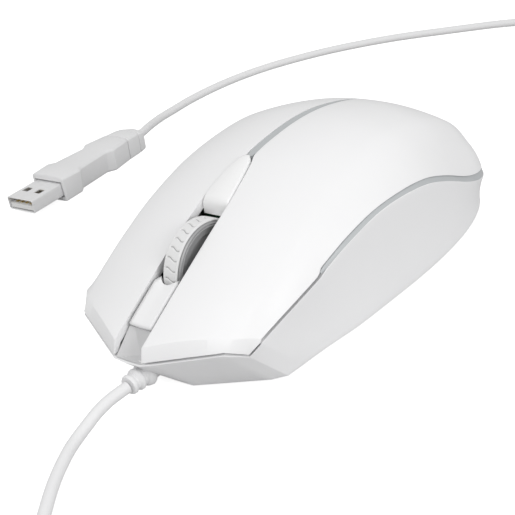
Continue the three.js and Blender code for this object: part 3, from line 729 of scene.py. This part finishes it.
# ---------- lower shell ----------
# (upper point, lower point) pairs round the nose, from the middle to the start of the flank
NOSE_POSTS = [
    ((0, -61.3, 10.8), (0, -51.5, BASE_Z)),
    ((4.3, -60.95, 10.95), (6.2, -51.5, BASE_Z)),
    ((6.4, -59.95, 11.15), (9.5, -51.4, BASE_Z)),
    ((22.4, -52.45, 13.4), (25.1, -41.8, BASE_Z)),
    ((26.0, -48.3, 11.6), (27.75, -38.85, BASE_Z)),
    ((27.75, -45.9, 13.8), (28.4, -33.6, BASE_Z)),
]
LEDGE = [(2.1, -1.2), (2.1, 0.0), (1.35, 0.0), (1.35, -0.05)]  # (how far in, how high) on top of the wall
FLANK_START = -45.2
FACE_STEPS = 12  # steps down the wall
FLOOR_SHARES = (0, 0.3, 0.6, 1)  # places across the inner floor, from the middle to the wall


def flank_posts():
    """(upper point, lower point) pairs along the flank, to the tail."""
    posts = []
    for y in [FLANK_START + 1.2 * i for i in range(47)] + rear_places(60):
        low_y = y + 12.0 * (1 - smooth((y + 45) / 50))  # near the nose the foot is set back
        gap = 0.1 + 0.6 * smooth((-22 - y) / 3)  # an open seam in front of the strip, a fine one under it
        posts.append(((belt_x(y), y, seam_z(y) - gap - press_room(y)), (foot_x(low_y), low_y, BASE_Z)))
    return posts


def base_columns():
    """Each post as a column of points, from inside the lip, down the wall, and in under the floor."""
    posts = []
    for (a0, b0), (a1, b1) in zip(NOSE_POSTS, NOSE_POSTS[1:]):
        steps = max(2, round(math.dist(a0, a1) / 1.5))
        posts += [(mix(a0, a1, i / steps), mix(b0, b1, i / steps)) for i in range(steps)]
    posts.append(NOSE_POSTS[-1])
    posts += flank_posts()
    columns = []
    for a, b in posts:
        ax, ay, az = a
        # The flank is pressed in along its middle, and flat at the nose and the tail.
        hollow = 0.7 * smooth((ay + 46) / 12) * smooth((63 - ay) / 14)
        dx, dy, _ = inward(max(ay, FLANK_START))
        if ay < FLANK_START - 0.3:
            dx, dy = -0.45, 0.9
        ledge = [(max(ax + depth * dx, 0), ay + depth * dy, az + rise) for depth, rise in LEDGE]
        face = []
        for i in range(FACE_STEPS + 1):
            share = i / FACE_STEPS
            x, y, z = mix(a, b, share)
            sunk = hollow * 4 * share * (1 - share)
            face.append((x + sunk * dx, y + sunk * dy, z))
        bx, by, bz = b
        under = [(bx * share, by - by * (1 - share) * 0.12, bz) for share in (0.93, 0.6, 0.3, 0)]
        floor = [(bx * share * 0.94, by * 0.955, bz + WALL) for share in FLOOR_SHARES]
        columns.append([*floor, *ledge, *face, *under])
    return columns


SENSOR_WINDOW = (5.0, 6.0)  # half its width and half its length
SCREW_PLACES = [(17, 40), (-17, 40), (0, 22)]
SCREW_HOLE = [(-2, 0), (-2, 2.4), (1.6, 2.4), (1.6, 1.4), (4, 1.4), (4, 0)]  # (height, radius)


def make_base():
    """The base: faceted nose, hollow flanks, a lip under the seam and a flat underside with its openings."""
    rows = turned(base_columns())
    top_row = len(FLOOR_SHARES) + len(LEDGE)
    foot_row = top_row + FACE_STEPS
    rows = soften_row(rows, foot_row, 0.7)
    rows = soften_row(rows, top_row, 0.25)
    left = rows
    right = [row[::-1] for row in mirrored(rows)]
    rows = [b + a[1:] for a, b in zip(left, right)]
    points = [point for row in rows for point in row]
    made = build("base", points, grid_faces(len(rows), len(rows[0])), angle=32, close=True)
    round_edges(made, 0.35, 2, 24)
    bake(made)
    half_x, half_y = SENSOR_WINDOW
    cut(made, rounded_block("window", (-half_x, -half_y, -1), (half_x, half_y, 5), 0.8))
    for x, y in SCREW_PLACES:
        cut(made, lathe("screw_hole", SCREW_HOLE, (x, y, 0), 32, "Z"))
    return finish_piece(made, "base", "chassis", "base_shell")


# ---------- light strips ----------
def band_point(y, lift, sunk):
    """A point of the band above the seam, some way up it and some way in from its surface."""
    share = min(lift / (shoulder_z(y) - seam_z(y)), BAND_LIMIT)
    dx, dy, _ = inward(y)
    x = belt_x(y) - (belt_x(y) - shoulder_x(y)) * share
    z = seam_z(y) + (shoulder_z(y) - seam_z(y)) * share + bulge(y, 1 - share)
    return max(x + sunk * dx, 0.0), y + sunk * dy, z


def make_side_strip(side):
    """The light guide above the seam of one flank, from beside the wheel to the tail."""
    rings = []
    for y in [-24.5 + 1.3 * i for i in range(28)] + rear_places(60):
        high = strip_height(y)
        top = high - press_room(y)
        section = [(-0.4, 1.6), (-0.3, 0.3), (0.4 * high, 0.2), (top, 0.3), (top + 0.05, 1.6)]
        rings.append([band_point(y, lift, sunk) for lift, sunk in section])
    rings = rings if side > 0 else mirrored(rings)
    names = ("strip_left", "left_strip") if side > 0 else ("strip_right", "right_strip")
    return finish_piece(tube(names[0], rings, 50), "strip", "chassis", names[1])


def make_spine_strip():
    """The long light guide in the middle of the palm."""
    rings = []
    start, end, steps = -8.2, SPINE_END - 0.4, 60
    for i in range(steps + 1):
        y = start + (end - start) * i / steps
        half = max(inner_edge(y) - 0.12, 0.12) * (0.55 + 0.45 * smooth(i / 2))
        top = top_height(0, y) - 0.16
        low = top - 1.8
        rings.append([(-half, y, low), (-half, y, top), (0, y, top + 0.02), (half, y, top), (half, y, low)])
    return finish_piece(tube("strip_spine", rings, 40), "strip", "chassis", "spine_strip")


# ---------- middle channel ----------
def make_bridge():
    """The piece between the buttons in front of the wheel, hollowed round the wheel at its rear end."""
    half = BRIDGE
    deep = 2.6
    front = -54.4
    rows = []
    rear = WHEEL_Y - math.sqrt((WHEEL_RADIUS + 1.2) ** 2 - 9)
    for i in range(13):
        t = i / 12
        row = []
        for j in range(9):
            x = half * (j / 4 - 1)
            start = rear + 1.1 - 1.9 * (1 - (x / half) ** 2)
            y = start + (front - start) * t
            row.append((x, y, top_height(x, y) - 1.5 - 0.2 * (1 - abs(x) / half)))
        rows.append(row)
    rows = [[(x, y + 0.2, z - deep) for x, y, z in rows[0]], *rows]
    made = grid("bridge", rows, angle=30)
    thicken(made, 0.9)
    return finish_piece(made, "shell", "chassis", "channel_bridge")


def make_valley():
    """The small faceted recess at the foot of the bridge, in a grey that paints the shade in it."""
    half = CHANNEL - 0.2
    top, foot = (-54.2, 16.0), (-60.5, 11.0)
    corners = [(half, *top), (-half, *top), (half, *foot), (-half, *foot), (-2.5, *top), (1.0, -57.4, 10.6),
               (half, -54.4, 10.5), (-half, -54.4, 10.5)]
    faces = [(0, 4, 5, 2), (4, 1, 3, 5), (5, 3, 2), (0, 2, 6), (1, 7, 3), (0, 6, 7, 1, 4), (2, 3, 7, 6)]
    made = build("valley", corners, faces, 10, close=True)
    round_edges(made, 0.15)
    finish_piece(made, "base", "chassis")
    # the recess gets the grey material, painted shade
    made.data.materials[0] = MATERIALS["recess"]
    return made


def make_dpi():
    """The drop-shaped button behind the wheel: a flat top with a narrow bevel, rolled down in front."""
    rings = []
    roll = [(0.0, 3.2), (0.0, 1.5), (0.12, 0.9), (0.4, 0.45), (0.85, 0.15), (1.4, 0.0)]
    places = [(DPI_FRONT + along, drop) for along, drop in roll]
    places += [(DPI_FRONT + 1.4 + (DPI_TAIL - DPI_FRONT - 2.3) * (i + 1) / 26, 0.0) for i in range(26)]
    places += [(DPI_TAIL - 0.45, 0.18), (DPI_TAIL - 0.1, 0.55), (DPI_TAIL, 1.2)]
    for y, drop in places:
        share = (y - DPI_FRONT) / (DPI_TAIL - DPI_FRONT)
        end = smooth((y - DPI_TAIL + 1.2) / 1.2)
        half = (inner_edge(y) - 0.22 - 0.3 * share ** 2) * (1 - 0.3 * end)
        top = top_height(0, y) + 0.4 + 0.5 * share - drop
        low = top_height(0, y) - 3.6
        rim = min(0.6, half * 0.5)
        side = [(half, low), (half, top - 0.8), (half - 0.1, top - 0.4), (half - 0.5 * rim, top - 0.1),
                (half - rim, top)]
        rings.append([(x, y, max(z, low)) for x, z in side] + [(-x, y, max(z, low)) for x, z in side[::-1]])
    made = tube("dpi_cap", rings, 28)
    return finish_piece(made, "pearl", "dpi_key", "dpi_button")


# ---------- wheel ----------
TREAD_HALF = 2.0
TREAD_WAVES = 30
GROOVE_DEPTH = 0.26
GROOVE_SWING = 0.17  # how far a groove swings to each side, as a share of the space between grooves
GROOVE_WIDTH = 0.2
TYRE_SIDE = [(2.08, 11.78), (2.12, 11.68), (2.14, 11.45), (2.0, 11.4), (1.98, 11.3), (2.0, 11.2)]


def groove(x, angle):
    """How deep the tread is cut: shallow S-shaped grooves across it."""
    swing = GROOVE_SWING * math.sin(math.pi * x / TREAD_HALF)
    phase = angle * TREAD_WAVES / (2 * math.pi) - swing
    away = abs(phase - round(phase)) * 2 * math.pi * WHEEL_RADIUS / TREAD_WAVES
    fade = smooth((TREAD_HALF - 0.25 - abs(x)) / 0.4)
    return GROOVE_DEPTH * fade * math.exp(-(away / GROOVE_WIDTH) ** 2)


def make_tyre():
    """The rubber tyre, with painted shade, a darker grey material, at the bottom of its grooves."""
    steps = TREAD_WAVES * 28
    tread = [-TREAD_HALF + 2 * TREAD_HALF * i / 24 for i in range(25)]
    left = [(-x, r) for x, r in TYRE_SIDE[::-1]]
    rings = []
    for i in range(steps):
        a = 2 * math.pi * i / steps
        profile = left + [(x, WHEEL_RADIUS - 0.012 * x * x - groove(x, a)) for x in tread] + TYRE_SIDE
        rings.append([(x, WHEEL_Y + r * math.cos(a), WHEEL_Z + r * math.sin(a)) for x, r in profile])
    rings.append(rings[0])
    made = tube("tyre", rings, 40, caps=False)
    finish_piece(made, "tyre", "wheel", "wheel_tyre")
    # the faces at the bottom of the grooves get the darker grey, painted shade
    made.data.materials.append(MATERIALS["groove"])
    hub_y, hub_z = at(0, WHEEL_Y, WHEEL_Z)[1:]
    for face in made.data.polygons:
        x, y, z = face.center
        deep = WHEEL_RADIUS - 1000 * math.hypot(y - hub_y, z - hub_z)
        if abs(x) < 0.002 and deep > 0.6 * GROOVE_DEPTH:
            face.material_index = 1
    return made


# (how far out along the axle, radius), from under the tyre to the end of the axle
HUB_SIDE = [(1.95, 11.25), (2.3, 11.15), (2.5, 10.85), (2.36, 10.72), (2.36, 10.55), (2.62, 10.45),
            (2.64, 10.25), (2.3, 10.1), (2.2, 9.7), (2.2, 8.6), (1.95, 8.4), (1.8, 5.2), (2.0, 5.0),
            (2.0, 3.4), (2.2, 3.05), (3.6, 2.9), (3.8, 2.7), (3.8, 1.1), (6.4, 1.1), (6.6, 0.9), (6.6, 0)]


def make_hub():
    """The wheel's hub: two raised rings, a dished web and the axle."""
    profile = [(-x, r) for x, r in HUB_SIDE[::-1]] + HUB_SIDE
    made = lathe("hub", profile, (0, WHEEL_Y, WHEEL_Z), 96, "X", 30)
    return finish_piece(made, "hub", "wheel", "wheel_hub")


# ---------- cable ends ----------
# (distance from its root in the base, radius)
GLAND = [(0, 0), (0, 2.4), (5.6, 2.6), (5.9, 3.1), (6.4, 3.3), (7.3, 3.05), (7.7, 2.8), (8, 2.2), (8.8, 2.2),
         (9.0, 2.6), (9.3, 2.72), (9.8, 2.68), (10.05, 2.5), (10.3, 2), (11, 2), (11.2, 2.35), (11.5, 2.45),
         (12, 2.4), (GLAND_LENGTH, 2.2), (GLAND_LENGTH, 0)]


def make_gland():
    """The ribbed strain relief."""
    made = lathe("gland", GLAND, (0, GLAND_TIP + GLAND_LENGTH, GLAND_Z), 48, "Y", 50)
    return finish_piece(made, "base", "chassis", "strain_relief")


def make_coil_tie():
    """A strap that holds the turns of the coil together."""
    inner = COIL_RADIUS - 2 * CORD - 0.3
    outer = COIL_RADIUS + 2 * CORD + 0.3
    top = 2 * CORD + 0.35
    corner, low, half_width = 0.9, 0.05, 2.5
    loop = [(inner, corner), (inner, top - corner), (inner + corner, top), (outer - corner, top),
            (outer, top - corner), (outer, corner), (outer - corner, low), (inner + corner, low)]
    place = math.radians(60)
    out, along = (math.cos(place), math.sin(place)), (-math.sin(place), math.cos(place))
    rings = []
    for radius, z in loop:
        outside = (radius, z)
        inside = (radius + (COIL_RADIUS - radius) * 0.07, z + (top / 2 - z) * 0.2)
        ring = []
        for (r, height), w in ((outside, -half_width), (outside, half_width), (inside, half_width),
                               (inside, -half_width)):
            ring.append((COIL_X + r * out[0] + w * along[0], COIL_Y + r * out[1] + w * along[1], height))
        rings.append(ring)
    rings.append(rings[0])
    made = tube("coil_tie", rings, 50, caps=False)
    return finish_piece(made, "foot", "chassis")


# ---------- plug ----------
def plug_section(top, foot, high):
    """The section of the plug's grip, from the foot of one side over the ridge to the other foot."""
    right = [(foot - 0.5, 0.0), (foot, 0.5), (top, high - 1.3), (top - 0.9, high - 0.55)]
    return right + [(0, high)] + [(-x, z) for x, z in right[::-1]]


def plug_rings(places):
    """Rings along the plug from (place, half width at the top, half width at the foot, height) rows."""
    return [[(PLUG_X + x, y, z) for x, z in plug_section(top, foot, high)] for y, top, foot, high in places]


def lay_askew(made):
    """Turns a piece of the plug a little about the plug's own upright axis, as the CAD does."""
    pivot = at(PLUG_X, 5, 0)
    turn = Matrix.Rotation(ASKEW, 4, "Z")
    made.data.transform(Matrix.Translation(pivot) @ turn @ Matrix.Translation(-pivot))
    return made


def make_plug_grip():
    """The faceted grip, with a socket in front where the shell goes in."""
    places = [(GRIP_FRONT, 7.2, 7.0, 8.8), (12.6, 7.45, 7.2, 9.05), (20.0, 8.1, 7.1, 9.0),
              (22.0, 6.7, 5.3, 8.8), (34.8, 5.7, 4.7, 8.6), (37.4, 7.3, 6.7, 8.7),
              (45.7, 5.9, 5.4, 8.6), (45.9, 5.7, 5.2, 8.4)]
    made = tube("plug_grip_skin", plug_rings(places), 24)
    round_edges(made, 0.18, 2, 18)
    bake(made)
    half, high = PLUG_WIDTH / 2 + 0.35, PLUG_HEIGHT / 2 + 0.5
    low_corner = (PLUG_X - half, 9, PLUG_MIDDLE - high)
    high_corner = (PLUG_X + half, 15.5, PLUG_MIDDLE + high)
    cut(made, block("socket", low_corner, high_corner))
    return finish_piece(lay_askew(made), "cord", "chassis", "plug_grip")


def make_plug_collar():
    """The collar behind the grip, with a thin groove round it."""
    places = [(46.2, 5.6, 5.1, 8.3), (46.4, 5.8, 5.3, 8.5), (51.7, 5.5, 5.0, 8.2), (51.9, 5.3, 4.8, 8.0),
              (52.0, 4.9, 4.4, 7.6), (52.4, 4.9, 4.4, 7.6), (52.5, 5.2, 4.7, 8.0), (52.7, 5.4, 4.9, 8.1),
              (55.4, 4.6, 4.2, 7.3), (56.0, 3.9, 3.6, 6.6)]
    made = tube("plug_collar_skin", plug_rings(places), 24)
    round_edges(made, 0.22, 2, 24)
    bake(made)
    return finish_piece(lay_askew(made), "cord", "chassis", "plug_collar")


def rounded_loop(half_x, half_z, radius, y):
    """A rounded rectangle of points round the plug's middle line."""
    steps = 4
    ring = []
    for quarter, (sx, sz) in enumerate(((1, 1), (-1, 1), (-1, -1), (1, -1))):
        for i in range(steps + 1):
            a = math.pi / 2 * (quarter + i / steps)
            ring.append((PLUG_X + sx * (half_x - radius) + radius * math.cos(a), y,
                         PLUG_MIDDLE + sz * (half_z - radius) + radius * math.sin(a)))
    return ring


def make_plug_shell():
    """The folded steel shell, open in front, with its four square catches."""
    half_x, half_z, sheet = PLUG_WIDTH / 2, PLUG_HEIGHT / 2, 0.32
    back = GRIP_FRONT + 3.0
    outer = [rounded_loop(half_x - inset, half_z - inset, 0.6, y)
             for y, inset in ((back, 0), (PLUG_FRONT + 0.15, 0), (PLUG_FRONT, 0.12))]
    inner = [rounded_loop(half_x - inset, half_z - inset, 0.35, y)
             for y, inset in ((PLUG_FRONT, 0.2), (PLUG_FRONT + 0.15, sheet), (back, sheet))]
    made = tube("plug_shell_skin", outer + inner + [outer[0]], 40, caps=False)
    for side in (-1, 1):
        x0, x1 = sorted((side * 1.5, side * 4.2))
        cut(made, rounded_block("catch", (PLUG_X + x0, 4.2, -1), (PLUG_X + x1, 6.9, 9), 0.1))
    return finish_piece(lay_askew(made), "steel", "chassis", "plug_shell")


# ---------- the CAD's own solids ----------
def dress_nodes():
    """Gives every CAD solid its material, and small round edges to the glide feet."""
    for name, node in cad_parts.items():
        slot = slot_of(name)
        node.data.materials.clear()
        node.data.materials.append(MATERIALS[slot])
        if name in ("front_foot", "rear_foot"):
            round_edges(node, 0.2, 3)


def slot_of(name):
    for group, slot in (("switch", "black"), ("plunger", "red"), ("foot", "foot"), ("board", "board"),
                        ("light", "clear"), ("lens", "clear"), ("sensor", "black"), ("screw", "steel"),
                        ("contact", "gold"), ("tongue", "foot"), ("connector", "foot"), ("encoder", "black"),
                        ("carrier", "base"), ("bracket", "base")):
        if group in name:
            return slot
    return "base"


# ---------- stage ----------
WORLD_LIGHT = 0.63  # how bright the white world is as a light, where the camera sees it as 1
FLOOR_GLOW = 0.84  # light of the floor's own that only the camera sees


def make_floor():
    """A matt sheet, a hair below the object, that looks white and throws little light back."""
    size = 4000.0
    low = -0.02
    corners = [(-size, -size, low), (size, -size, low), (size, size, low), (-size, size, low)]
    floor = build("floor", corners, [(0, 1, 2, 3)])
    made, tree, shader = material("floor_white")
    path = tree.nodes.new("ShaderNodeLightPath")
    glow = tree.nodes.new("ShaderNodeMath")
    glow.operation = "MULTIPLY"
    glow.inputs[1].default_value = FLOOR_GLOW
    tree.links.new(path.outputs["Is Camera Ray"], glow.inputs[0])
    tree.links.new(glow.outputs["Value"], shader.inputs["Emission Strength"])
    shader.inputs["Emission Color"].default_value = (1, 1, 1, 1)
    shader.inputs["Base Color"].default_value = (0.6, 0.6, 0.6, 1)
    shader.inputs["Roughness"].default_value = 0.9
    shader.inputs["Specular IOR Level"].default_value = 0.0
    floor.data.materials.append(made)


def area_light(name, place, size, power):
    """A round lamp that faces the mouse."""
    data = bpy.data.lights.new(name, "AREA")
    data.shape = "DISK"
    data.size = size * 0.001
    data.energy = power
    made = bpy.data.objects.new(name, data)
    made.location = at(*place)
    made.rotation_euler = (at(0, 0, 20) - at(*place)).to_track_quat("-Z", "Y").to_euler()
    bpy.context.scene.collection.objects.link(made)


def make_light():
    """An even white studio, brighter to the camera than as a light, and two soft lamps."""
    world = bpy.data.worlds.new("studio")
    world.use_nodes = True
    tree = world.node_tree
    background = tree.nodes["Background"]
    background.inputs["Color"].default_value = (1, 1, 1, 1)
    path = tree.nodes.new("ShaderNodeLightPath")
    strength = tree.nodes.new("ShaderNodeMath")
    strength.operation = "MULTIPLY_ADD"
    strength.inputs[1].default_value = 1 - WORLD_LIGHT
    strength.inputs[2].default_value = WORLD_LIGHT
    tree.links.new(path.outputs["Is Camera Ray"], strength.inputs[0])
    tree.links.new(strength.outputs["Value"], background.inputs["Strength"])
    bpy.context.scene.world = world
    area_light("top", (30, -310, 530), 440, 0.97)
    area_light("left", (550, -60, 240), 340, 1.0)
    bpy.context.scene.view_settings.view_transform = "Standard"
    bpy.context.scene.view_settings.look = "None"


# ---------- the whole ----------
make_camera()
dress_nodes()

cable, cable_line = make_cable()
finish_piece(cable, "cord", "chassis", "cable_front", "cable_coil", "cable_back")
tie = make_coil_tie()
plug_pieces = [make_plug_grip(), make_plug_collar(), make_plug_shell()]
plug_pieces += [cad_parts[name] for name in ("plug_tongue", *(f"plug_contact_{i}" for i in range(1, 5)))]

make_skin(1, "skin_left", "left_key", "left_button", "palm_shell")
make_skin(-1, "skin_right", "right_key", "right_button")
make_base()
for flank in (1, -1):
    make_side_strip(flank)
make_spine_strip()
make_bridge()
make_valley()
make_dpi()
make_tyre()
make_hub()
make_gland()

make_floor()
make_light()
